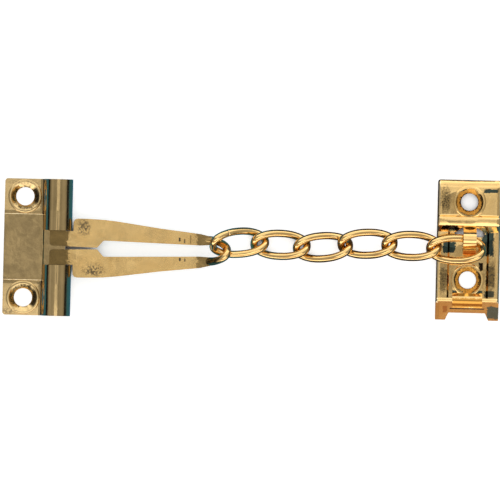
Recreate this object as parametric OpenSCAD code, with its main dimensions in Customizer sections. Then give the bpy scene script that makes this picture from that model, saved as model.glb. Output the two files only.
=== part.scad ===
// Door chain guard: a frame plate with two knuckles, a slotted hairpin arm that turns in them,
// six twisted curb links, and a two-piece pressed keeper that holds the last link under its strap.
// The backs of both plates lie on z = 0. The origin is midway between the frame plate's screws.

/* [Frame plate] */
// Height of the frame plate, measured along the hinge line
plate_h = 41; // [36:0.5:56]
// Distance from the screw line to the free edge of the plate
plate_edge = 6.1; // [5.6:0.1:12]
// Distance from the screw line to the hinge line
hinge_x = 10.1; // [9.8:0.1:16]
// Spacing of the two screws of the frame plate
plate_pitch = 30.4; // [26:0.2:46]
// Diameter of the screw holes of the frame plate
plate_hole_d = 5.5; // [4:0.1:6]
// Height of the raised pad between the two screws
pad_h = 20.1; // [14:0.1:21]
// Thickness of the plate's sheet
sheet_t = 1.4; // [1:0.1:1.8]

/* [Knuckles] */
// Outer diameter of the two knuckles
knuckle_d = 8.6; // [7.6:0.1:11]
// Gap between the two knuckles
knuckle_gap = 10.4; // [8:0.1:14]

/* [Arm] */
// Length of the arm from the hinge line to the start of its end loop
arm_l = 45.2; // [38:0.1:70]
// Width of the arm across its shoulders
arm_w = 17.7; // [15.4:0.1:24]
// Thickness of the arm
arm_t = 1.7; // [1.4:0.1:2]
// Width of the slot at its wide end
slot_w = 4.8; // [4.6:0.1:6]
// Radial clearance of the arm's lugs in the knuckles
lug_play = 0.1; // [0.05:0.01:0.1]

/* [Chain] */
// Diameter of the wire that the links are bent from
wire_d = 2.25; // [1.8:0.05:2.8]
// Outside length of a link, in wire diameters
link_len = 8.067; // [7.8:0.01:8.6]
// Outside width of a link before it is twisted, in wire diameters
link_wid = 4.067; // [4:0.01:4.3]
// Twist of each end of a link out of its middle plane, in degrees
link_twist = 44; // [42:0.5:46]

/* [Keeper] */
// Width of the keeper
keeper_w = 19; // [17:0.5:26]
// Spacing of the two screws of the keeper
keeper_pitch = 23.4; // [22.4:0.2:26]
// Diameter of the screw holes of the keeper
keeper_hole_d = 5.2; // [4:0.1:6]
// Thickness of the keeper's sheet
keeper_t = 0.9; // [0.7:0.05:1.1]
// Width of the strap over the last link
strap_w = 3.9; // [3:0.1:4.4]

/* [Hidden] */
$fn = 64;
kr = knuckle_d / 2;
hinge_z = kr;
bore_r = kr - sheet_t;
lug_r = bore_r - lug_play;
gap_h = knuckle_gap / 2;
rim_h = 0.35;
dimple_wall = 0.4;
pad_up = 0.45;
arm_play = 0.15;

// the chain and everything that fits it scales with the wire
k = wire_d / 2.25;
link_a = (link_len - 1) * wire_d / 2;
link_b = (link_wid - 1) * wire_d / 2;
link_power = 2.8;
link_more = (link_len - 8.067) * wire_d;

// end loop of the arm
loop_x = hinge_x + arm_l;
loop_z = 2.74 * k;
loop_a = 5.8 * k;
loop_b = 3.2 * k;
loop_r = 1.15 * k;
loop_rise = 27.3;
loop_twist = 40.4;

// bends of the arm
bend1 = hinge_x + kr + 1.3;
bend2 = loop_x - 5.3 * k;
arm_drop = atan((hinge_z - loop_z) / (bend2 - bend1));

// lie of each link: offset from the loop, height, then roll, pitch and yaw in degrees
LIE = [
    [9.28, 2.79, 3.75, 1.06, 10.13, 5.95],
    [21.70, 2.44, 2.68, -1.03, -0.46, -1.13],
    [34.46, 2.04, 3.00, -1.05, -3.55, 5.40],
    [47.78, 3.40, 4.13, -0.87, -4.33, 2.75],
    [60.96, 3.07, 4.85, -1.04, -1.25, -0.28],
    [74.38, 2.37, 5.49, 1.09, -4.19, -0.12]
];

// keeper; the strap is measured down from its head, which stays under the ridge
strap_y = 7;
keep_x = loop_x + 78.12 * k + 5.5 * link_more;
keep_y = 11.96 * k - strap_y;
floor_z = 2.3 * k;
top_z = floor_z + 1.9;
ridge_z = top_z + 0.9;
kt = keeper_t;
tray_z = kt;
strap_u = 0.3;
hole_v = keeper_pitch / 2;
v_top = hole_v + 6.6;
v_foot = -hole_v - 12.1;
brow_r = 3.2;
sink_up = 1.2;
sink_low = 1.15;

brass = [0.80, 0.66, 0.38];
pale = [0.86, 0.74, 0.47];

function spow(v, e) = sign(v) * pow(abs(v), e);
function unit(v) = v / norm(v);

// normal offset of an open polyline in the plane, mitred at its corners
function seg_n(a, b) = unit([a[1] - b[1], b[0] - a[0]]);
function off_at(p, i, d) =
    let (
        n = len(p),
        n0 = seg_n(p[max(i - 1, 0)], p[max(i, 1)]),
        n1 = seg_n(p[min(i, n - 2)], p[min(i + 1, n - 1)]),
        m = unit(n0 + n1)
    ) p[i] + m * d / max(0.5, m * n0);
function offset_path(p, d) = [for (i = [0:len(p) - 1]) off_at(p, i, d)];
function reverse(p) = [for (i = [len(p) - 1:-1:0]) p[i]];
function ribbon(p, t) = concat(offset_path(p, t / 2), reverse(offset_path(p, -t / 2)));

// profile in the Y-Z plane drawn out along X, centred on X = 0
module along_x(w) {
    rotate([90, 0, 90])
        translate([0, 0, -w / 2])
            linear_extrude(w)
                children();
}

// profile in the X-Z plane drawn out from y0 to y1
module along_y(y0, y1) {
    translate([0, y1, 0])
        rotate([90, 0, 0])
            linear_extrude(y1 - y0)
                children();
}

// round section swept along a list of points; ends stay open when closed is true
function frame_t(p, i, closed) =
    let (n = len(p))
    closed ? unit(p[(i + 1) % n] - p[(i + n - 1) % n])
           : unit(p[min(i + 1, n - 1)] - p[max(i - 1, 0)]);
module sweep(p, c, hw, ht, sides, closed) {
    n = len(p);
    pts = [
        for (i = [0:n - 1])
            let (
                t = frame_t(p, i, closed),
                r = p[i] - c[i],
                u = unit(r - t * (r * t)),
                w = cross(t, u)
            )
            for (j = [0:sides - 1])
                p[i] + u * hw[i] * cos(360 * j / sides) + w * ht[i] * sin(360 * j / sides)
    ];
    last = closed ? n - 1 : n - 2;
    skin = [
        for (i = [0:last])
            for (j = [0:sides - 1])
                let (i2 = (i + 1) % n, j2 = (j + 1) % sides)
                for (f = [
                    [i * sides + j, i2 * sides + j2, i * sides + j2],
                    [i * sides + j, i2 * sides + j, i2 * sides + j2]
                ]) f
    ];
    caps = closed ? [] : [
        [for (j = [0:sides - 1]) j],
        [for (j = [sides - 1:-1:0]) (n - 1) * sides + j]
    ];
    polyhedron(points = pts, faces = concat(skin, caps), convexity = 6);
}

// ---------- frame plate ----------

// pressed countersink: a cone-sided hole with a rolled rim that stands on the sheet
module rim(hole_d, top) {
    r0 = hole_d / 2 + 0.9;
    translate([0, 0, top - 0.3])
        rotate_extrude()
            polygon([[r0, 0], [r0 + 1.5, 0], [r0 + 1.4, 0.42], [r0 + 0.95, 0.3 + rim_h], [r0, 0.3 + rim_h]]);
}
module rim_cut(hole_d, top, depth) {
    r1 = hole_d / 2 + 1.55;
    translate([0, 0, -20])
        cylinder(h = 40, r = hole_d / 2);
    translate([0, 0, top - depth])
        cylinder(h = depth + rim_h + 0.01, r1 = hole_d / 2, r2 = r1);
}
// the back of a countersink that is pressed down past a thin sheet
module dimple(hole_d, top, depth) {
    low = top - depth - dimple_wall;
    rotate_extrude()
        polygon([[hole_d / 2 - 0.3, low], [hole_d / 2 + 0.5, low], [hole_d / 2 + 1.35, low + 0.85],
                 [hole_d / 2 + 1.35, top - 0.35], [hole_d / 2 - 0.3, top - 0.35]]);
}

// leaf of the plate with its two outer corners rounded
module leaf_outline() {
    r = 0.9;
    translate([-plate_edge + r, -plate_h / 2])
        square([plate_edge + hinge_x - r, plate_h]);
    translate([-plate_edge, -plate_h / 2 + r])
        square([plate_edge, plate_h - 2 * r]);
    for (s = [-1, 1])
        translate([-plate_edge + r, s * (plate_h / 2 - r)])
            circle(r);
}

// section of a knuckle and of the concave flank that joins it to the leaf
module knuckle_section() {
    fr = 1.5;
    fz = sheet_t + fr;
    fx = hinge_x - sqrt(pow(kr + fr - 0.04, 2) - pow(hinge_z - fz, 2));
    fa = atan2(hinge_z - fz, hinge_x - fx);
    difference() {
        union() {
            translate([hinge_x, hinge_z])
                circle(kr);
            polygon(concat(
                [[hinge_x, hinge_z], [hinge_x, 0], [fx, 0], [fx, sheet_t]],
                [for (i = [1:7]) let (a = -90 + (fa + 90) * i / 7) [fx + fr * cos(a), fz + fr * sin(a)]]
            ));
        }
        translate([hinge_x, hinge_z])
            circle(bore_r);
        // seam where the rolled end of the sheet meets its own flank
        translate([hinge_x, hinge_z])
            rotate(218)
                translate([bore_r - 0.5, -0.12])
                    square([sheet_t + 3, 0.24]);
    }
}

module frame_plate() {
    flank_x = hinge_x - kr - 0.9;
    color(brass)
    difference() {
        union() {
            // flat sheet around the screws
            difference() {
                linear_extrude(sheet_t)
                    leaf_outline();
                translate([flank_x, -plate_h, -1])
                    cube([40, 2 * plate_h, sheet_t + 2]);
            }
            // pad raised between the screws
            translate([-plate_edge, -pad_h / 2, 0])
                cube([plate_edge + flank_x + 0.6, pad_h, sheet_t + pad_up]);
            // tongue of the sheet that runs on under the lugs
            translate([flank_x - 0.5, -gap_h - 0.3, 0])
                cube([hinge_x + 2.3 - flank_x + 0.5, knuckle_gap + 0.6, sheet_t]);
            // rounded step from the pad down to the tongue
            translate([flank_x + 0.5, 0, sheet_t - 0.2])
                along_y(-gap_h - 0.3, gap_h + 0.3)
                    polygon([[0, 0], [0, pad_up + 0.19], [0.25, pad_up + 0.17], [0.42, pad_up + 0.05],
                             [0.56, 0.37], [0.62, 0]]);
            for (s = [-1, 1])
                along_y(s < 0 ? -plate_h / 2 : gap_h, s < 0 ? -gap_h : plate_h / 2)
                    knuckle_section();
            for (s = [-1, 1])
                translate([0, s * plate_pitch / 2, 0])
                    rim(plate_hole_d, sheet_t);
        }
        for (s = [-1, 1])
            translate([0, s * plate_pitch / 2, 0])
                rim_cut(plate_hole_d, sheet_t, 0.85);
        // hollow behind the pad
        translate([-plate_edge - 1, -pad_h / 2 + sheet_t, -1])
            cube([plate_edge + flank_x - 0.4, pad_h - 2 * sheet_t, 1 + pad_up]);
    }
}

// ---------- arm ----------

// one prong of the arm with its half of the neck, in plan
module prong_outline() {
    nx = hinge_x - 2.35;
    sx = hinge_x + kr + 0.45;
    hw = arm_w / 2;
    sw = slot_w / 2;
    f = (loop_x + 0.7 - sx) / 41.15;
    polygon([
        [nx, 1.5], [nx + 0.12, 1.05], [nx + 0.45, 0.72], [nx + 0.9, 0.6],
        [sx + 7.15 * f, 0.24], [sx + 8.95 * f, sw - 0.12], [sx + 9.5 * f, sw],
        [sx + 26.2 * f, sw - 0.42], [loop_x - 2.3, 1.65 * k], [loop_x + 0.7, 1.85 * k],
        [loop_x + 0.7, 4.4 * k], [loop_x - 2.3, 5.1 * k], [bend2, 5.45 * k],
        [sx + 26.2 * f, hw - 2.4], [sx + 21.6 * f, hw - 1.75], [sx + 13.2 * f, hw - 0.6],
        [sx + 9 * f, hw - 0.18], [sx + 4 * f, hw], [sx + 1.2, hw], [sx + 0.4, hw - 0.25],
        [sx, hw - 1], [sx, gap_h - arm_play], [nx, gap_h - arm_play]
    ]);
}

module arm_piece(x0, x1) {
    linear_extrude(arm_t, center = true)
        intersection() {
            union() {
                prong_outline();
                mirror([0, 1])
                    prong_outline();
            }
            translate([x0, -50])
                square([x1 - x0, 100]);
        }
}

// centreline of the end loop, drawn from one prong round to the other
function loop_pt(f) =
    let (
        x = loop_a * spow(cos(f), 2 / 2.6),
        y = loop_b * spow(sin(f), 2 / 2.6),
        t = -loop_twist * x / loop_a
    ) [loop_x + x, y * cos(t) + 0.1 * k, loop_z + y * sin(t) + x * tan(loop_rise)];
function loop_lead(s) = [
    [loop_x - 2.2 * k, s * loop_b + 0.1 * k, loop_z],
    [loop_x - 1.1 * k, s * loop_b + 0.1 * k, loop_z],
    [loop_x - 0.3 * k, s * loop_b + 0.1 * k, loop_z + 0.04 * k]
];

module end_loop() {
    p = concat(
        loop_lead(-1),
        [for (f = [-84:7:84]) loop_pt(f)],
        reverse(loop_lead(1))
    );
    n = len(p);
    c = [for (i = [0:n - 1]) [min(p[i][0], loop_x + 0.6 * loop_a), 0.1 * k, p[i][2]]];
    e = [for (i = [0:n - 1]) let (q = min(1, min(i, n - 1 - i) / 7)) q * q * (3 - 2 * q)];
    hw = [for (i = [0:n - 1]) loop_r * (1.16 - 0.16 * e[i])];
    ht = [for (i = [0:n - 1]) arm_t / 2 * 0.98 * (1 - e[i]) + loop_r * e[i]];
    sweep(p, c, hw, ht, 16, false);
}

module hinge_arm() {
    color(pale)
    union() {
        // neck between the knuckles with the two lugs that turn in their bores
        translate([0, 0, hinge_z])
            arm_piece(0, bend1 + 0.05);
        intersection() {
            translate([hinge_x - kr, -gap_h - 7, hinge_z - arm_t / 2])
                cube([2 * kr, knuckle_gap + 14, arm_t]);
            translate([hinge_x, gap_h + 10, hinge_z])
                rotate([90, 0, 0])
                    cylinder(h = knuckle_gap + 20, r = lug_r);
            for (s = [-1, 1])
                translate([0, s * (gap_h + 20 - arm_play) - 20, 0])
                    cube([40, 40, 40]);
        }
        // two prongs that slope down to the chain
        translate([bend1, 0, hinge_z])
            rotate([0, arm_drop, 0])
                translate([-bend1, 0, 0])
                    arm_piece(bend1 - 0.05, bend2 + 0.1);
        // flat tips and the loop that joins them
        translate([0, 0, loop_z])
            arm_piece(bend2 - 0.1, loop_x + 0.7);
        end_loop();
    }
}

// ---------- chain ----------

function link_pt(f) =
    let (
        x = link_a * spow(cos(f), 2 / link_power),
        y = link_b * spow(sin(f), 2 / link_power),
        t = -link_twist * x / link_a
    ) [x, y * cos(t), y * sin(t)];

module link() {
    p = [for (i = [0:59]) link_pt(i * 6)];
    c = [for (q = p) [q[0] * 0.75, 0, 0]];
    r = [for (q = p) wire_d / 2];
    sweep(p, c, r, r, 16, true);
}

module chain_link(i) {
    q = LIE[i];
    color(pale)
    translate([loop_x + q[0] * k + (i + 0.5) * link_more, q[1] * k, q[2] * k])
        rotate([q[3], q[4], q[5]])
            link();
}

// ---------- keeper ----------

// outer line of the housing from the foot of its sloping wall over to its top wall
HOUSE = concat(
    [
        [v_foot, 0], [-hole_v - 6.9, floor_z - 0.05], [-hole_v - 6.6, floor_z + 0.22],
        [-hole_v - 6.2, floor_z + 0.3], [-hole_v - 5.8, floor_z + 0.22], [-hole_v - 5.5, floor_z],
        [2.7, floor_z], [4.2, ridge_z - 0.6], [4.6, ridge_z - 0.15], [5.2, ridge_z],
        [6.6, ridge_z], [7.2, ridge_z - 0.2], [7.6, top_z + 0.1], [8, top_z]
    ],
    [for (a = [90:-9:45]) [v_top + brow_r * (cos(a) - cos(45)), top_z + brow_r * (sin(a) - 1)]],
    [[v_top, 0]]
);
HOUSE_MID = concat(
    [
        [v_foot, 0], [-hole_v - 6.4, floor_z], [2.7, floor_z], [4.4, ridge_z - 0.2], [5.2, ridge_z],
        [6.8, ridge_z], [7.8, top_z]
    ],
    [for (a = [90:-9:45]) [v_top + brow_r * (cos(a) - cos(45)), top_z + brow_r * (sin(a) - 1)]],
    [[v_top, 0]]
);
KW = keeper_w / 2;

module house_walls() {
    for (s = [-1, 1])
        translate([s * (KW - kt / 2), 0, 0])
            along_x(kt)
                polygon(HOUSE);
}

// trough for the tongue: sloped sides and a floor that backs the lower screw
module trough() {
    w = 6.2;
    along_y(-hole_v - 5.6, 2.8)
        polygon([
            [-w - 0.7, floor_z], [-w, floor_z], [-w + 0.6, tray_z], [w - 0.6, tray_z], [w, floor_z],
            [w + 0.7, floor_z], [w + 0.7, tray_z], [w, 0], [-w, 0], [-w - 0.7, tray_z]
        ]);
    translate([-w, -hole_v - 6.3, 0])
        cube([2 * w, 0.8, floor_z - 0.1]);
}

module keeper_housing() {
    color(brass)
    translate([keep_x, keep_y, 0])
    difference() {
        union() {
            difference() {
                along_x(keeper_w - kt)
                    polygon(concat(HOUSE, reverse(offset_path(HOUSE_MID, -kt))));
                // opening of the trough
                translate([-6.2, -hole_v - 5.5, -1])
                    cube([12.4, hole_v + 8.2, 8]);
            }
            house_walls();
            trough();
            translate([0, hole_v, 0]) {
                rim(keeper_hole_d, top_z);
                dimple(keeper_hole_d, top_z, sink_up);
            }
        }
        translate([0, hole_v, 0])
            rim_cut(keeper_hole_d, top_z, sink_up);
        // room for the dimple of the tongue
        translate([0, -hole_v, -1])
            cylinder(h = 10, r = keeper_hole_d / 2 + 1.75);
        // arched opening under the ridge for the head of the tongue
        translate([strap_u, 5.2, 0])
            rotate([90, 0, 0])
                cylinder(h = 4, r = ridge_z - 0.5);
        // slot for the tab and the open foot below it
        translate([-5.2, -hole_v - 8.8, -1])
            cube([10.4, 0.3, 8]);
        translate([0, 0, -1])
            linear_extrude(8)
                polygon([[-6.5, v_foot - 1], [-6.5, v_foot], [-5.5, v_foot + 2.2], [5.5, v_foot + 2.2],
                         [6.5, v_foot], [6.5, v_foot - 1]]);
        // below the backs of the walls
        translate([-50, -50, -10])
            cube([100, 100, 10]);
    }
}

// middle line of the tongue from its head, over the last link, down the trough and over the lip
tz = tray_z + kt / 2 + 0.04;
TONGUE_UP = [
    [7, 2.95], [4.8, 3], [4, 3.4], [3.1, 4.5], [2.5, 5.6], [1.9, 6.35], [1.1, 6.85], [0.2, 7],
    [-0.8, 6.75], [-1.7, 5.95], [-2.4, 4.8], [-2.9, 3.4], [-3.3, 2.45]
];
TONGUE = concat(
    [for (q = TONGUE_UP) [strap_y + (q[0] - strap_y) * k, q[1] * k]],
    [[strap_y - 10.8 * k, tz + 0.06], [strap_y - 11.4 * k, tz]]
);
TAB = [
    [-hole_v - 3, tz], [-hole_v - 3.6, tz], [-hole_v - 4.1, tz + 0.2], [-hole_v - 4.8, floor_z + 0.15],
    [-hole_v - 5.2, floor_z + 0.72], [-hole_v - 5.8, floor_z + 0.92], [-hole_v - 6.5, floor_z + 0.92], [-hole_v - 7.2, floor_z + 0.7],
    [-hole_v - 8.1, floor_z + 0.17]
];

module keeper_tongue() {
    iw = 9;
    i0 = -hole_v - 3.5;
    i1 = strap_y - 10.9 * k;
    color(pale)
    translate([keep_x, keep_y, 0])
    difference() {
        union() {
            translate([strap_u, 0, 0])
                along_x(strap_w)
                    polygon(ribbon(TONGUE, kt));
            // wide head behind the ridge
            translate([strap_u, 0, 0])
                along_x(6.2)
                    polygon(ribbon([[strap_y, 2.95 * k], [strap_y - k, 2.97 * k]], kt));
            // plate in the trough with two shoulders beside the strap
            translate([0, 0, tz - kt / 2])
                linear_extrude(kt)
                    polygon([
                        [-iw / 2, i0], [-iw / 2, i1], [-iw / 2 + 0.7, i1 + 1.6], [-iw / 2 + 1.6, i1 + 2.6],
                        [-strap_w / 2 + strap_u - 0.2, i1 + 2.6], [-strap_w / 2 + strap_u - 0.2, i1],
                        [strap_w / 2 + strap_u + 0.2, i1], [strap_w / 2 + strap_u + 0.2, i1 + 2.6],
                        [iw / 2 - 1.2, i1 + 2.6], [iw / 2 - 0.5, i1 + 1.6], [iw / 2, i1], [iw / 2, i0]
                    ]);
            along_x(iw)
                polygon(ribbon(TAB, kt));
            translate([0, -hole_v, 0]) {
                rim(keeper_hole_d, tz + kt / 2);
                dimple(keeper_hole_d, tz + kt / 2, sink_low);
            }
        }
        translate([0, -hole_v, 0])
            rim_cut(keeper_hole_d, tz + kt / 2, sink_low);
    }
}

module chain_link_1() chain_link(0);
module chain_link_2() chain_link(1);
module chain_link_3() chain_link(2);
module chain_link_4() chain_link(3);
module chain_link_5() chain_link(4);
module chain_link_6() chain_link(5);

frame_plate();
hinge_arm();
chain_link_1();
chain_link_2();
chain_link_3();
chain_link_4();
chain_link_5();
chain_link_6();
keeper_housing();
keeper_tongue();
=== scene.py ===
"""Door chain guard in polished brass plate: frame plate, hairpin arm, curb chain and keeper.

The sheet-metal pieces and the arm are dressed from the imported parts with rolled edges. The links
are spun from round wire, with sizes and places that repeat those of the part's own source.
"""
import math

import bmesh
import bpy
from mathutils import Euler, Matrix, Vector


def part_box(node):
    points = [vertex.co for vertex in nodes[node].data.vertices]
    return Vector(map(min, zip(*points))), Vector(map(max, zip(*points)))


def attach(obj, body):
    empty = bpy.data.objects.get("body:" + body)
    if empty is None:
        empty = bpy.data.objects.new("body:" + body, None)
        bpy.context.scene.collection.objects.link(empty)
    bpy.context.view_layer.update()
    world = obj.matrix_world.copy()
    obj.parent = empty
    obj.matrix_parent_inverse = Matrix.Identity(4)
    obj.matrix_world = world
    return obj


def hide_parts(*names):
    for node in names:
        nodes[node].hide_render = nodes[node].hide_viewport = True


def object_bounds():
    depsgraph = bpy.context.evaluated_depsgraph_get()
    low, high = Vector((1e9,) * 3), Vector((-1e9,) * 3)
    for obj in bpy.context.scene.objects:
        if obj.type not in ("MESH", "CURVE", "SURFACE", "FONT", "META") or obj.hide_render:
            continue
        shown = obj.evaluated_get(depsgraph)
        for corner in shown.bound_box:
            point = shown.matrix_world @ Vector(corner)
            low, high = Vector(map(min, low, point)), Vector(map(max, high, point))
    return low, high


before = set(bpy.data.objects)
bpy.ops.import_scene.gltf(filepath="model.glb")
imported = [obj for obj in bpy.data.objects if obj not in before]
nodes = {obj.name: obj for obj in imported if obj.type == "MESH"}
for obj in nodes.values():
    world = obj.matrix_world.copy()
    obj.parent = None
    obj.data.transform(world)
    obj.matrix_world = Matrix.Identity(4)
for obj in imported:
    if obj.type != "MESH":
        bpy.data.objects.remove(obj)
cad_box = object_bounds()
MM = 0.001


# ---------------------------------------------------------------- brass finishes

class Shader:
    """Small helper that lays out and joins the nodes of one material."""

    def __init__(self, name):
        self.mat = bpy.data.materials.new(name)
        self.mat.use_nodes = True
        self.tree = self.mat.node_tree
        self.tree.nodes.clear()
        self.out = self.tree.nodes.new("ShaderNodeOutputMaterial")
        self.skin = self.tree.nodes.new("ShaderNodeBsdfPrincipled")
        self.tree.links.new(self.skin.outputs["BSDF"], self.out.inputs["Surface"])
        self.place = self.tree.nodes.new("ShaderNodeTexCoord").outputs["Object"]

    def join(self, a, b):
        self.tree.links.new(a, b)

    def mapped(self, scale=(1, 1, 1), turn=(0, 0, 0), shift=(0, 0, 0)):
        m = self.tree.nodes.new("ShaderNodeMapping")
        m.inputs["Scale"].default_value = scale
        m.inputs["Rotation"].default_value = [math.radians(a) for a in turn]
        m.inputs["Location"].default_value = shift
        self.join(self.place, m.inputs["Vector"])
        return m.outputs["Vector"]

    def noise(self, scale, detail=3.0, rough=0.55, at=None, warp=0.0):
        n = self.tree.nodes.new("ShaderNodeTexNoise")
        n.inputs["Scale"].default_value = scale
        n.inputs["Detail"].default_value = detail
        n.inputs["Roughness"].default_value = rough
        n.inputs["Distortion"].default_value = warp
        self.join(at or self.place, n.inputs["Vector"])
        return n.outputs["Fac"]

    def ramp(self, value, stops):
        r = self.tree.nodes.new("ShaderNodeValToRGB")
        e = r.color_ramp.elements
        while len(e) < len(stops):
            e.new(0.5)
        for k, (at, tone) in enumerate(stops):
            e[k].position = at
            e[k].color = (*tone, 1) if isinstance(tone, (tuple, list)) else (tone, tone, tone, 1)
        self.join(value, r.inputs["Fac"])
        return r.outputs["Color"]

    def calc(self, a, b, how="ADD", clamp=False):
        m = self.tree.nodes.new("ShaderNodeMath")
        m.operation = how
        m.use_clamp = clamp
        for k, v in enumerate((a, b)):
            if isinstance(v, (int, float)):
                m.inputs[k].default_value = v
            else:
                self.join(v, m.inputs[k])
        return m.outputs[0]

    def blend(self, fac, a, b, how="MIX"):
        m = self.tree.nodes.new("ShaderNodeMix")
        m.data_type = "RGBA"
        m.blend_type = how
        for k, v in ((0, fac), (6, a), (7, b)):
            if isinstance(v, (int, float)):
                m.inputs[k].default_value = v
            elif isinstance(v, (tuple, list)):
                m.inputs[k].default_value = (*v, 1)
            else:
                self.join(v, m.inputs[k])
        return m.outputs[2]

    def near(self, centre, radii):
        """The piece's own coordinates counted from the centre in units of the radii, both in mm."""
        m = self.tree.nodes.new("ShaderNodeMapping")
        m.vector_type = "TEXTURE"
        m.inputs["Location"].default_value = [c * MM for c in centre]
        m.inputs["Scale"].default_value = [r * MM for r in radii]
        self.join(self.place, m.inputs["Vector"])
        return m.outputs["Vector"]

    def spot(self, centre, radii):
        """1 at centre, fading evenly to 0 at the radii."""
        g = self.tree.nodes.new("ShaderNodeTexGradient")
        g.gradient_type = "SPHERICAL"
        self.join(self.near(centre, radii), g.inputs["Vector"])
        return self.ramp(g.outputs["Fac"], [(0.0, 0.0), (0.55, 1.0)])

    def panel(self, centre, radii):
        """1 over most of a box about the centre, fading to 0 at its uneven edge."""
        split = self.tree.nodes.new("ShaderNodeSeparateXYZ")
        self.join(self.near(centre, radii), split.inputs[0])
        x, y, z = [self.calc(c, 0.0, "ABSOLUTE") for c in split.outputs]
        out = self.calc(self.calc(x, y, "MAXIMUM"), z, "MAXIMUM")
        uneven = self.calc(self.noise(480, 3, 0.6), self.noise(2300, 2, 0.6), "ADD")
        border = self.calc(out, self.calc(uneven, 0.42, "MULTIPLY"), "ADD")
        return self.ramp(border, [(0.92, 1.0), (1.0, 0.0)])

    def fold(self, axis, centre, start):
        """Distance in metres past a line start mm to either side of the centre."""
        split = self.tree.nodes.new("ShaderNodeSeparateXYZ")
        self.join(self.place, split.inputs[0])
        off = self.calc(split.outputs[axis], -centre * MM, "ADD")
        return self.calc(self.calc(self.calc(off, 0.0, "ABSOLUTE"), -start * MM, "ADD"), 0.0, "MAXIMUM")

    def bump(self, height, strength, distance, under=None):
        b = self.tree.nodes.new("ShaderNodeBump")
        b.inputs["Strength"].default_value = strength
        b.inputs["Distance"].default_value = distance
        self.join(height, b.inputs["Height"])
        if under is not None:
            self.join(under, b.inputs["Normal"])
        return b.outputs["Normal"]


def plated_brass(name, light, deep, gloss, grain, waves, dents, scratch_turn, smudge, seed,
                 marks=(), leans=(), folds=()):
    """Bright plating over pressed sheet or wire.

    light and deep are the two tones that drift over the surface, gloss its roughness where it is
    cleanest, grain the depth of the fine tooth, waves the depth of the pressed unevenness and
    dents that of the slow bulges, all in metres. marks are painted reflections and painted shade
    laid over the tone (centre, radii, how dark, tone, speckled), leans are places where the sheet
    leans a little (centre, radii, depth) and folds are long edges that it falls away to (axis,
    centre, start, slope), all in mm.
    """
    s = Shader(name)
    own = s.mapped(shift=(seed, seed * 0.7, seed * 0.3))
    drift = s.noise(190, 4, 0.6, own, 0.6)
    patch = s.noise(620, 5, 0.65, own, 0.3)
    tone = s.blend(s.ramp(drift, [(0.32, 0.0), (0.68, 1.0)]), deep, light)
    # tarnish freckles, thin and scattered
    freckle = s.ramp(s.noise(2600, 2, 0.5, own), [(0.62, 0.0), (0.76, 1.0)])
    dusty = s.ramp(s.noise(330, 3, 0.5, own), [(0.45, 0.0), (0.7, 1.0)])
    spots = s.calc(freckle, dusty, "MULTIPLY")
    tone = s.blend(s.calc(spots, 0.45 * smudge, "MULTIPLY"), tone, tuple(c * 0.5 for c in deep))
    # painted reflections and painted shade, as speckled spots or as panels
    fleck = s.ramp(s.noise(1900, 3, 0.6, own), [(0.44, 0.0), (0.58, 1.0)])
    for centre, radii, dark, painted_tone, speckled in marks:
        there = s.calc(s.spot(centre, radii), fleck, "MULTIPLY") if speckled else s.panel(centre, radii)
        tone = s.blend(s.calc(there, dark, "MULTIPLY"), tone, painted_tone)
    # rolled edges and the rings beside the link joints are paler than the plating, in patches: along
    # the sheet edges this is a painted highlight
    edge = s.tree.nodes.new("ShaderNodeAttribute")
    edge.attribute_name = "edge_wear_and_highlight"
    wear_and_highlight = s.calc(edge.outputs["Fac"], s.ramp(patch, [(0.4, 0.35), (0.62, 1.0)]), "MULTIPLY")
    tone = s.blend(s.calc(wear_and_highlight, 0.7, "MULTIPLY"), tone, (0.97, 0.84, 0.56))
    s.join(tone, s.skin.inputs["Base Color"])
    s.skin.inputs["Metallic"].default_value = 1.0
    # hairline scratches along the way the sheet was drawn
    lines = s.mapped((900, 26000, 9000), (0, 0, scratch_turn), (seed, 0, seed))
    hair = s.ramp(s.noise(1.0, 2, 0.5, lines), [(0.6, 0.0), (0.72, 1.0)])
    cross = s.mapped((21000, 1300, 9000), (0, 0, scratch_turn + 23), (0, seed, seed))
    hair2 = s.ramp(s.noise(1.0, 2, 0.5, cross), [(0.66, 0.0), (0.76, 1.0)])
    hairs = s.calc(s.calc(hair, 0.6, "MULTIPLY"), s.calc(hair2, 0.4, "MULTIPLY"))
    smear = s.ramp(s.noise(240, 4, 0.6, own, 1.2), [(0.42, 0.0), (0.74, 1.0)])
    rough = s.calc(s.calc(smear, 0.16 * smudge, "MULTIPLY"), s.calc(hairs, 0.10, "MULTIPLY"))
    rough = s.calc(rough, s.calc(patch, 0.07, "MULTIPLY"))
    s.join(s.calc(rough, gloss, clamp=True), s.skin.inputs["Roughness"])
    bulge = s.bump(s.noise(75, 1.5, 0.4, own), 1.0, dents)
    wave = s.bump(s.noise(330, 3, 0.55, own, 0.5), 1.0, waves, bulge)
    for centre, radii, depth in leans:
        wave = s.bump(s.spot(centre, radii), 1.0, depth * MM, wave)
    for axis, centre, start, slope in folds:
        wave = s.bump(s.fold(axis, centre, start), 1.0, -slope, wave)
    tooth = s.bump(s.noise(3800, 3, 0.6, own), 1.0, grain, wave)
    scored = s.bump(hairs, 0.35, grain * 0.8, tooth)
    s.join(scored, s.skin.inputs["Normal"])
    return s.mat


# GOLD and the plate's deeper tone are darker than the brass of the other pieces: a painted dark
# reflection on the plate
GOLD = (0.66, 0.47, 0.215)
PALE_GOLD = (0.92, 0.63, 0.26)
WARM_GOLD = (0.86, 0.56, 0.21)

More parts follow.
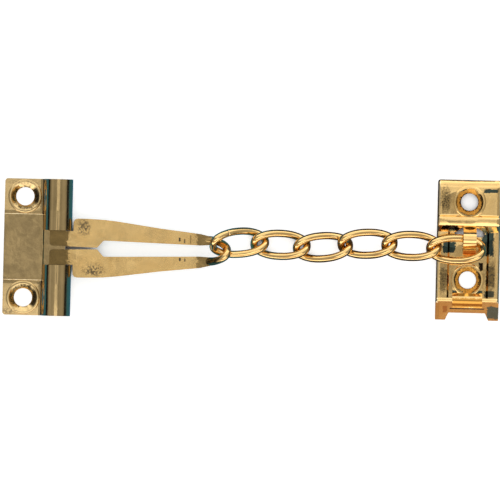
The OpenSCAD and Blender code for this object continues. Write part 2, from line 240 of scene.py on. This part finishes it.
# tones of the painted reflections and painted shade
PAINTED_DARK_REFLECTION = (0.13, 0.10, 0.06)
SHADE = (0.26, 0.17, 0.06)
PAINTED_TEAL_REFLECTION = (0.05, 0.07, 0.055)
PAINTED_DEEP_SHADE = (0.02, 0.013, 0.008)
PAINTED_ORANGE_REFLECTION = (0.60, 0.28, 0.045)
PAINTED_WARM_REFLECTION = (0.7, 0.3, 0.06)
PAINTED_SLATE_REFLECTION = (0.15, 0.23, 0.23)
PAINTED_RUDDY_REFLECTION = (0.4, 0.10, 0.02)

# painted reflections and painted shade on each piece: centre and radii in mm, how dark, tone, speckled
PLATE_PAINTED_REFLECTIONS = [
    # dark speckled patches on the plate: painted reflection
    ((-4.2, -19.5, 1.4), (3.5, 1.6, 3), 0.6, PAINTED_DARK_REFLECTION, True),
    ((4.0, 14.0, 1.4), (1.8, 4.5, 3), 0.35, PAINTED_DARK_REFLECTION, True),
    ((-1.0, 19.3, 1.4), (5.5, 0.9, 3), 0.5, PAINTED_DARK_REFLECTION, True),
    ((5.0, -10.9, 1.4), (1.4, 1.4, 3), 0.7, PAINTED_DARK_REFLECTION, True),
]
ARM_PAINTED_REFLECTIONS_AND_SHADE = [
    # dark speckled patches by the shoulders: painted reflection
    ((18.0, 6.1, 5), (2.6, 3.2, 6), 0.85, PAINTED_DARK_REFLECTION, True),
    ((21.2, -6.5, 5), (4.2, 2.4, 6), 0.9, PAINTED_DARK_REFLECTION, True),
    # small dark spots before the tip's bend: painted reflection
    ((46.7, 3.3, 4), (0.5, 0.9, 3), 1.0, PAINTED_DARK_REFLECTION, False),
    ((48.2, 2.9, 4), (0.4, 1.1, 3), 0.8, PAINTED_DARK_REFLECTION, False),
    ((46.9, -2.7, 4), (0.5, 0.9, 3), 1.0, PAINTED_DARK_REFLECTION, False),
    ((48.4, -2.8, 4), (0.4, 0.9, 3), 0.8, PAINTED_DARK_REFLECTION, False),
    # the lugs and the tip darkened: painted dark reflection
    ((9.6, 3.2, 4), (7.2, 6.5, 12), 1.0, SHADE, False),
    ((9.6, -3.2, 4), (7.2, 6.5, 12), 1.0, SHADE, False),
    ((55.5, 0, 3), (6.8, 12, 8), 0.8, SHADE, False),
    # a thin painted shade along the tip's bend
    ((50.0, 3.4, 3), (0.4, 2.4, 3), 0.6, SHADE, False),
]
KEEPER_PAINTED_REFLECTIONS_AND_SHADE = [
    # dark, teal, slate and red patches over the housing: painted reflections
    ((126.1, 17.4, 4), (2.0, 5.0, 6), 1.0, PAINTED_DARK_REFLECTION, True),
    ((126.3, 17.0, 4), (2.2, 5.0, 6), 0.5, SHADE, False),
    ((139.9, 20.1, 4), (3.6, 1.0, 9), 1.0, PAINTED_TEAL_REFLECTION, False),
    # the dark band under the ridge: painted deep shade
    ((127.6, 8.9, 3), (4.6, 1.2, 9), 1.0, PAINTED_DEEP_SHADE, False),
    ((139.2, 4.3, 2), (3.2, 6.6, 14), 1.0, PAINTED_TEAL_REFLECTION, False),
    ((140.2, -5.5, 2), (2.2, 6.0, 6), 0.8, SHADE, False),
    ((140.2, -5.5, 2), (2.2, 6.0, 6), 0.8, PAINTED_DARK_REFLECTION, True),
    ((140.0, -10.9, 2), (2.6, 1.7, 9), 0.9, PAINTED_TEAL_REFLECTION, False),
    ((126.0, -6.6, 2), (1.8, 5.6, 6), 0.9, PAINTED_DARK_REFLECTION, True),
    ((126.2, -6.6, 2), (1.9, 5.6, 6), 0.6, SHADE, False),
    ((127.8, 3.0, 1), (3.6, 3.0, 9), 1.0, PAINTED_TEAL_REFLECTION, False),
    ((141.4, -16.5, 1), (3.6, 3.4, 9), 0.95, PAINTED_SLATE_REFLECTION, False),
    ((126.9, -15.6, 1), (1.3, 1.9, 4), 0.5, PAINTED_RUDDY_REFLECTION, False),
]
TONGUE_PAINTED_REFLECTIONS_AND_SHADE = [
    # orange over the hooked tab and teal beside it: painted reflections
    ((133.4, -13.7, 3.2), (9, 2.8, 9), 0.95, PAINTED_ORANGE_REFLECTION, False),
    ((129.3, -10.7, 1), (2.2, 1.5, 2), 1.0, PAINTED_TEAL_REFLECTION, False),
    ((137.4, -10.7, 1), (2.2, 1.5, 2), 1.0, PAINTED_TEAL_REFLECTION, False),
    # a small painted deep shade on the strap
    ((137.6, -2.7, 1), (1.8, 2.2, 2), 1.0, PAINTED_DEEP_SHADE, False),
    # orange on the strap's lower end: painted reflection
    ((134.0, 1.4, 2), (4.0, 2.2, 5), 0.9, PAINTED_WARM_REFLECTION, False),
]

# axes of the folds, and the middle of the keeper's width in mm
X, Y = 0, 1
KEEPER_MID = 133.42

# the plate takes the darker tones, a painted dark reflection
plate_brass = plated_brass(
    "plate_brass", GOLD, (0.58, 0.41, 0.185), gloss=0.07, grain=2.4e-6, waves=2.5e-5, dents=2.5e-4,
    scratch_turn=90, smudge=0.6, seed=0.3, marks=PLATE_PAINTED_REFLECTIONS, folds=[(Y, 0.0, 11.0, 0.055)],
)
arm_brass = plated_brass(
    "arm_brass", PALE_GOLD, WARM_GOLD, gloss=0.12, grain=4.5e-6, waves=3.0e-5, dents=2.5e-4,
    scratch_turn=3, smudge=0.6, seed=1.1, marks=ARM_PAINTED_REFLECTIONS_AND_SHADE,
)
wire_brass = plated_brass(
    "wire_brass", PALE_GOLD, WARM_GOLD, gloss=0.08, grain=1.6e-6, waves=1.0e-5, dents=0.6e-4,
    scratch_turn=0, smudge=0.5, seed=2.3,
)
keeper_brass = plated_brass(
    "keeper_brass", PALE_GOLD, WARM_GOLD, gloss=0.06, grain=2.0e-6, waves=4.0e-5, dents=3.0e-4,
    scratch_turn=0, smudge=0.7, seed=3.7, marks=KEEPER_PAINTED_REFLECTIONS_AND_SHADE,
    leans=[((131.0, 14.5, 4), (14, 12, 14), 0.40)], folds=[(X, KEEPER_MID, 8.3, 0.06)],
)
tongue_brass = plated_brass(
    "tongue_brass", PALE_GOLD, WARM_GOLD, gloss=0.08, grain=1.8e-6, waves=3.0e-5, dents=3.0e-4,
    scratch_turn=90, smudge=0.4, seed=5.2, marks=TONGUE_PAINTED_REFLECTIONS_AND_SHADE,
)


# ---------------------------------------------------------------- sheet pieces

def finish_piece(piece, body, brass, stands_for=()):
    piece.data.materials.clear()
    piece.data.materials.append(brass)
    for poly in piece.data.polygons:
        poly.use_smooth = True
    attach(piece, body)
    if stands_for:
        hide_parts(*stands_for)
    return piece


# corners steeper than this are rolled, and edges steeper than this stay crisp, in degrees
ROLLED_FROM = 34
CRISP_FROM = 42


def sheet_from_node(name, node, rolls):
    """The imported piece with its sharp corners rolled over.

    rolls is a list of (wanted edge test, radius in mm, segments); the first test that an edge
    passes decides its radius.
    """
    bm = bmesh.new()
    bm.from_mesh(nodes[node].data)
    bmesh.ops.remove_doubles(bm, verts=bm.verts, dist=2e-6)
    bmesh.ops.dissolve_degenerate(bm, edges=bm.edges, dist=3e-6)
    bmesh.ops.dissolve_limit(bm, angle_limit=math.radians(0.6), verts=bm.verts, edges=bm.edges)
    bm.normal_update()
    # the rolled faces are marked for the paler edge tone, a painted highlight
    wear_and_highlight = bm.faces.layers.float.new("edge_wear_and_highlight")
    for test, radius, segments in rolls:
        sharp = [
            e for e in bm.edges
            if len(e.link_faces) == 2 and e.calc_face_angle(0) > math.radians(ROLLED_FROM)
            and e.calc_length() > 4e-5 and test(e)
        ]
        made = bmesh.ops.bevel(
            bm, geom=sharp, offset=radius * MM, offset_type="OFFSET", segments=segments, profile=0.5,
            affect="EDGES", clamp_overlap=True, material=-1, loop_slide=True,
        )
        for f in made["faces"]:
            f[wear_and_highlight] = 1.0
    for e in bm.edges:
        if len(e.link_faces) == 2 and e.calc_face_angle(0) > math.radians(CRISP_FROM):
            e.smooth = False
    mesh = bpy.data.meshes.new(name)
    bm.to_mesh(mesh)
    bm.free()
    piece = bpy.data.objects.new(name, mesh)
    bpy.context.scene.collection.objects.link(piece)
    even = piece.modifiers.new("even_shading", "WEIGHTED_NORMAL")
    even.keep_sharp = True
    even.weight = 80
    return piece


def everywhere(edge):
    """Every sharp edge."""
    return True


def middle(edge):
    """Middle of the edge in mm."""
    return (edge.verts[0].co + edge.verts[1].co) / 2 / MM


# half the height of the raised pad, in mm
PAD_HALF = 20.1 / 2


def pad_step(edge):
    """Upper edges of the raised pad, beside the two screw dimples."""
    m = middle(edge)
    return m.z > 1.7 and m.x < 5.6 and abs(abs(m.y) - PAD_HALF) < 0.05


def not_pad_step(edge):
    """Every edge away from the sides of the raised pad."""
    m = middle(edge)
    return not (m.x < 5.7 and abs(abs(m.y) - PAD_HALF) < 0.6)


plate = sheet_from_node(
    "frame_plate_dressed", "frame_plate", [(pad_step, 0.43, 6), (not_pad_step, 0.11, 3)])
finish_piece(plate, "frame", plate_brass, ["frame_plate"])

arm = sheet_from_node("hinge_arm_dressed", "hinge_arm", [(everywhere, 0.14, 3)])
finish_piece(arm, "arm", arm_brass, ["hinge_arm"])

keep_low, keep_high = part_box("keeper_housing")


def long_side(edge):
    """Top edges of the keeper's two side walls."""
    m = middle(edge)
    aside = min(abs(m.x - keep_low.x / MM), abs(m.x - keep_high.x / MM)) < 0.02
    return aside and m.z > 1.2 and abs(edge.verts[0].co.x - edge.verts[1].co.x) < 1e-5


housing = sheet_from_node(
    "keeper_housing_dressed", "keeper_housing", [(long_side, 0.75, 5), (everywhere, 0.10, 3)])
finish_piece(housing, "keeper", keeper_brass, ["keeper_housing"])

tongue = sheet_from_node("keeper_tongue_dressed", "keeper_tongue", [(everywhere, 0.09, 3)])
finish_piece(tongue, "keeper", tongue_brass, ["keeper_tongue"])


# ---------------------------------------------------------------- chain links

WIRE = 2.25
# half length and half width of a link on the wire's middle line, fullness of its outline, and
# twist of each end in degrees
LINK_A = 7.95
LINK_B = 3.45
POWER = 2.8
TWIST = 44.0
LOOP_X = 55.3
WIRE_SIDES = 24
RING_STEPS = 150
# lie of each link, from a separate settling search: offset from the loop, y and height in mm,
# then roll, pitch and yaw in degrees
LIE = [
    (9.28, 2.79, 3.75, 1.06, 10.13, 5.95),
    (21.70, 2.44, 2.68, -1.03, -0.46, -1.13),
    (34.46, 2.04, 3.00, -1.05, -3.55, 5.40),
    (47.78, 3.40, 4.13, -0.87, -4.33, 2.75),
    (60.96, 3.07, 4.85, -1.04, -1.25, -0.28),
    (74.38, 2.37, 5.49, 1.09, -4.19, -0.12),
]


def power(v, e):
    return math.copysign(abs(v) ** e, v)


def link_line(f):
    """Point on the middle line of the wire, in mm, at the angle f round the link."""
    x = LINK_A * power(math.cos(f), 2 / POWER)
    y = LINK_B * power(math.sin(f), 2 / POWER)
    t = -math.radians(TWIST) * x / LINK_A
    return Vector((x, y * math.cos(t), y * math.sin(t)))


def wire_frame(f, line, step=0.004):
    """Point on the wire's middle line with the directions out of the link and across it.

    Out points away from the spot on the link's long axis that lies three quarters as far along.
    """
    p = line(f)
    ahead = (line(f + step) - line(f - step)).normalized()
    r = p - Vector((p.x * 0.75, 0, 0))
    out = (r - ahead * r.dot(ahead)).normalized()
    return p, out, ahead.cross(out)


def twisted_link(name, lie, joint_at):
    """Round wire spun into a ring, then drawn out, twisted and butted at joint_at degrees."""
    bm = bmesh.new()
    ring = 10.0
    made = bmesh.ops.create_circle(bm, segments=WIRE_SIDES, radius=WIRE / 2, cap_ends=False)
    turn = Matrix.Translation((ring, 0, 0)) @ Matrix.Rotation(math.pi / 2, 4, "X")
    bmesh.ops.transform(bm, matrix=turn, verts=made["verts"])
    bmesh.ops.spin(
        bm, geom=bm.verts[:] + bm.edges[:], cent=(0, 0, 0), axis=(0, 0, 1), angle=2 * math.pi,
        steps=RING_STEPS, use_merge=True, use_duplicate=False, dvec=(0, 0, 0), use_normal_flip=False,
    )
    bmesh.ops.remove_doubles(bm, verts=bm.verts, dist=1e-5)
    wear_and_highlight = bm.verts.layers.float.new("edge_wear_and_highlight")
    step = 2 * math.pi / RING_STEPS
    joint = round(math.radians(joint_at) / step) * step
    place = Matrix.Translation((LOOP_X + lie[0], lie[1], lie[2])) @ Euler(
        [math.radians(a) for a in lie[3:]], "XYZ").to_matrix().to_4x4()
    for v in bm.verts:
        f = math.atan2(v.co.y, v.co.x)
        away = math.hypot(v.co.x, v.co.y) - ring
        across = v.co.z
        near = (f - joint + math.pi) % (2 * math.pi) - math.pi
        turns = round(near / step)
        squeeze = 1.0
        if abs(turns) <= 3:
            # rings beside the butt joint draw together round the cut
            near = math.copysign((0.0, 0.22, 0.34, 0.9)[abs(turns)] * step, near) if turns else 0.0
            f = joint + near
            squeeze = (0.80, 0.955, 0.99, 1.0)[abs(turns)]
            # the rings beside the joint take the paler edge tone
            v[wear_and_highlight] = (0.0, 0.9, 0.5, 0.0)[abs(turns)]
        p, out, side = wire_frame(f, link_line)
        v.co = (place @ (p + (out * away + side * across) * squeeze)) * MM
    bmesh.ops.recalc_face_normals(bm, faces=bm.faces)
    mesh = bpy.data.meshes.new(name)
    bm.to_mesh(mesh)
    bm.free()
    piece = bpy.data.objects.new(name, mesh)
    bpy.context.scene.collection.objects.link(piece)
    return piece


# where the wire of each link is butted, in degrees round the link
BUTTS = [108, 214, 34, 214, 34, 214]
for number, (lie, joint_at) in enumerate(zip(LIE, BUTTS), 1):
    link = twisted_link(f"chain_link_{number}_wire", lie, joint_at)
    finish_piece(link, f"link_{number}", wire_brass, [f"chain_link_{number}"])


# ---------------------------------------------------------------- table, light and camera

TABLE_BELOW = 0.0002
TABLE_HALF = 3.0


def mixed(tree, share, first, second):
    """Shader output that goes from first to second as share goes from 0 to 1."""
    m = tree.nodes.new("ShaderNodeMixShader")
    for socket, value in zip(m.inputs, (share, first, second)):
        tree.links.new(value, socket)
    return m.outputs[0]


def glowing(tree, tone, strength):
    g = tree.nodes.new("ShaderNodeEmission")
    g.inputs["Color"].default_value = tone
    g.inputs["Strength"].default_value = strength
    return g


def table_white():
    """White to the camera; a cool, dim top to every other ray; open from below."""
    mat = bpy.data.materials.new("table_white")
    mat.use_nodes = True
    t = mat.node_tree
    t.nodes.clear()
    white = t.nodes.new("ShaderNodeBsdfDiffuse")
    white.inputs["Color"].default_value = (0.8, 0.8, 0.8, 1)
    bright = t.nodes.new("ShaderNodeAddShader")
    t.links.new(white.outputs[0], bright.inputs[0])
    t.links.new(glowing(t, (1, 1, 1, 1), 0.6).outputs[0], bright.inputs[1])
    # bands of blue and umber along X, which the brass picks up from low down
    split = t.nodes.new("ShaderNodeSeparateXYZ")
    t.links.new(t.nodes.new("ShaderNodeNewGeometry").outputs["Position"], split.inputs[0])
    along = t.nodes.new("ShaderNodeMapRange")
    along.inputs["From Min"].default_value = -0.1
    along.inputs["From Max"].default_value = 0.2
    t.links.new(split.outputs["X"], along.inputs["Value"])
    tint = t.nodes.new("ShaderNodeValToRGB")
    blue, umber, far_blue = (0.045, 0.20, 0.40, 1), (0.055, 0.05, 0.05, 1), (0.05, 0.17, 0.30, 1)
    e = tint.color_ramp.elements
    e[0].position, e[0].color = 0.52, blue
    e[1].position, e[1].color = 0.62, umber
    e.new(0.78).color = umber
    e.new(0.84).color = far_blue
    t.links.new(along.outputs[0], tint.inputs[0])
    cool = glowing(t, blue, 1.0)
    t.links.new(tint.outputs[0], cool.inputs["Color"])
    # the table under a narrow gap lies in deep shade
    shade = t.nodes.new("ShaderNodeAmbientOcclusion")
    shade.inputs["Distance"].default_value = 0.02
    shade.samples = 24
    deep = t.nodes.new("ShaderNodeValToRGB")
    e = deep.color_ramp.elements
    e[0].position, e[0].color = 0.14, (0, 0, 0, 1)
    e[1].position, e[1].color = 0.30, (1, 1, 1, 1)
    t.links.new(shade.outputs["AO"], deep.inputs[0])
    gap = glowing(t, (0.03, 0.018, 0.01, 1), 1.0)
    top = mixed(t, deep.outputs[0], gap.outputs[0], bright.outputs[0])
    # from below the table is left open, so that the backs can be seen
    under = t.nodes.new("ShaderNodeNewGeometry").outputs["Backfacing"]
    seen = mixed(t, under, top, t.nodes.new("ShaderNodeBsdfTransparent").outputs[0])
    eye = t.nodes.new("ShaderNodeLightPath").outputs["Is Camera Ray"]
    out = t.nodes.new("ShaderNodeOutputMaterial")
    t.links.new(mixed(t, eye, cool.outputs[0], seen), out.inputs["Surface"])
    return mat


def pale_table():
    bm = bmesh.new()
    bmesh.ops.create_grid(bm, x_segments=1, y_segments=1, size=TABLE_HALF)
    mesh = bpy.data.meshes.new("table_top")
    bm.to_mesh(mesh)
    bm.free()
    mesh.materials.append(table_white())
    top = bpy.data.objects.new("table_top", mesh)
    top.location = (0.068, 0, cad_box[0].z - TABLE_BELOW)
    bpy.context.scene.collection.objects.link(top)


def studio():
    """Bright and dark bands of light towards +Y and -Y, dimmer ones towards +X and -X."""
    world = bpy.data.worlds.new("studio")
    world.use_nodes = True
    bpy.context.scene.world = world
    t = world.node_tree
    t.nodes.clear()
    out = t.nodes.new("ShaderNodeOutputWorld")
    way = t.nodes.new("ShaderNodeTexCoord").outputs["Generated"]
    parts = t.nodes.new("ShaderNodeSeparateXYZ")
    t.links.new(way, parts.inputs[0])

    def math_node(how, a, b=None):
        m = t.nodes.new("ShaderNodeMath")
        m.operation = how
        m.inputs[2].default_value = 0.5  # added by MULTIPLY_ADD, not read by the others
        for k, v in enumerate((a, b)):
            if v is None:
                continue
            if isinstance(v, (int, float)):
                m.inputs[k].default_value = v
            else:
                t.links.new(v, m.inputs[k])
        return m.outputs[0]

    def ramp(value, stops, smooth=False):
        r = t.nodes.new("ShaderNodeValToRGB")
        if smooth:
            r.color_ramp.interpolation = "EASE"
        e = r.color_ramp.elements
        while len(e) < len(stops):
            e.new(0.5)
        for k, (at, tone) in enumerate(stops):
            e[k].position = at
            e[k].color = (*tone, 1) if isinstance(tone, tuple) else (tone, tone, tone, 1)
        t.links.new(value, r.inputs[0])
        return r.outputs[0]

    def mix(fac, a, b, how="MIX"):
        m = t.nodes.new("ShaderNodeMix")
        m.data_type = "RGBA"
        m.blend_type = how
        if fac is None:
            m.inputs[0].default_value = 1.0
        else:
            t.links.new(fac, m.inputs[0])
        t.links.new(a, m.inputs[6])
        t.links.new(b, m.inputs[7])
        return m.outputs[2]

    x, y, z = parts.outputs
    lean = math_node("DIVIDE", math_node("ARCCOSINE", z), math.pi)  # 0 overhead, 0.5 level

    def bands(*stops):
        """Brightness at each angle from overhead, in degrees."""
        return ramp(lean, [(angle / 180, tone) for angle, tone in stops])

    sides = bands(
        (0, 0.15), (3, 0.15), (5, 0.38), (9, 0.40), (14, 0.20), (17, 0.16), (48, 0.21), (66, 0.15),
        (75, 0.01), (90, 0.005))
    far_box = bands(
        (0, 0.15), (3, 0.15), (7, 0.45), (14, 0.52), (36, 0.55), (50, 0.50), (62, 0.75), (74, 0.75),
        (82, 0.03), (90, 0.01))
    near_box = bands(
        (0, 0.15), (3, 0.15), (7, 0.45), (14, 0.85), (34, 0.9), (40, (0.26, 0.17, 0.11)),
        (56, (0.20, 0.13, 0.09)), (61, 1.0), (72, 1.0), (79, 0.02), (90, 0.005))
    side_of = ramp(math_node("MULTIPLY_ADD", y, 0.5), [(0.49, 0.0), (0.51, 1.0)])
    boxes = mix(side_of, near_box, far_box)
    square = math_node("ADD", math_node("MULTIPLY", x, x), math_node("MULTIPLY", y, y))
    flat = math_node("SQRT", square)
    share = math_node("DIVIDE", math_node("ABSOLUTE", y), math_node("MAXIMUM", flat, 0.001))
    along = ramp(share, [(0.50, 0.0), (0.74, 1.0)], True)
    tone = mix(along, sides, boxes)
    cloud = t.nodes.new("ShaderNodeTexNoise")
    cloud.inputs["Scale"].default_value = 4.2
    cloud.inputs["Detail"].default_value = 2.5
    t.links.new(way, cloud.inputs["Vector"])
    mottle = ramp(cloud.outputs["Fac"], [(0.3, 0.75), (0.7, 1.25)])
    glow = t.nodes.new("ShaderNodeBackground")
    glow.inputs["Strength"].default_value = 2.2
    t.links.new(mix(None, tone, mottle, "MULTIPLY"), glow.inputs["Color"])
    pale = t.nodes.new("ShaderNodeBackground")
    pale.inputs["Color"].default_value = (0.97, 0.97, 0.97, 1)
    eye = t.nodes.new("ShaderNodeLightPath").outputs["Is Camera Ray"]
    t.links.new(mixed(t, eye, glow.outputs[0], pale.outputs[0]), out.inputs["Surface"])


def camera():
    data = bpy.data.cameras.new("long_lens")
    cam = bpy.data.objects.new("long_lens", data)
    bpy.context.scene.collection.objects.link(cam)
    bpy.context.scene.camera = cam
    aim_x, aim_y, aim_z = 0.06788, 0.00068, 0.004
    away = 2.0
    view_width = 0.150
    roll = 1.4
    data.sensor_width = 36
    data.lens = data.sensor_width * away / view_width
    cam.location = (aim_x, aim_y, aim_z + away)
    cam.rotation_euler = (0, 0, math.radians(roll))
    data.clip_start, data.clip_end = 0.1, 20


pale_table()
studio()
camera()
bpy.context.scene.view_settings.view_transform = "Standard"
bpy.context.scene.view_settings.look = "None"
